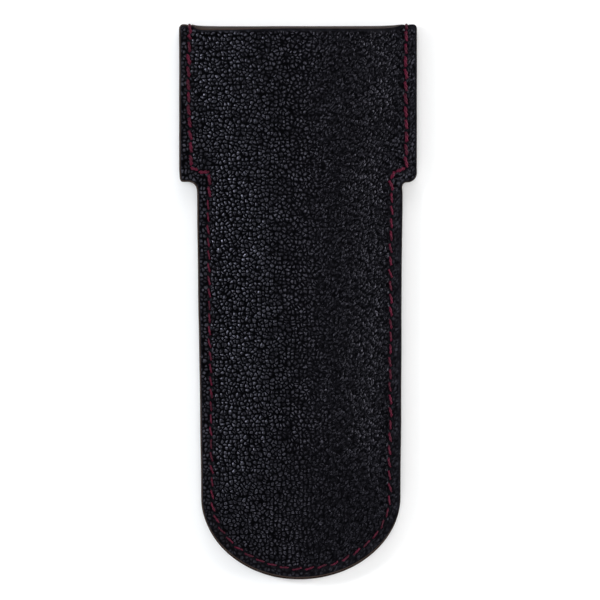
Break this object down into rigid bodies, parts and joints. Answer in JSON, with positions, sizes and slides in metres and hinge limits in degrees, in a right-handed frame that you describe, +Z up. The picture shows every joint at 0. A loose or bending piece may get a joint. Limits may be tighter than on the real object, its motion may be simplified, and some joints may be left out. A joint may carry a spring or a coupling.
{
  "type": "leather slip case",
  "caption": "Flat open-topped slip case sewn from pebbled black leather, with a wide head at the mouth, a narrower body and a rounded end.",
  "frame": {"origin": "on the surface the case lies on, under the middle of its overall box", "axes": "+Z up through the front panel, +Y along the case towards the open mouth, +X across it to the right"},
  "size_m": [0.0644, 0.15, 0.0111],
  "materials": {
    "outer_leather": "pebbled grain, soft sheen, dark rubbed edge",
    "interlining": "bonded leather board, matt",
    "suede_lining": "suede, matt",
    "seam_thread": "twisted waxed thread, slight sheen"
  },
  "bodies": {
    "root": {"front_panel": "outer_leather", "front_interlining": "interlining", "front_lining": "suede_lining", "back_lining": "suede_lining", "back_interlining": "interlining", "back_panel": "outer_leather", "needle_thread": "seam_thread", "bobbin_thread": "seam_thread", "left_mouth_tack": "seam_thread", "right_mouth_tack": "seam_thread"}
  },
  "joints": []
}
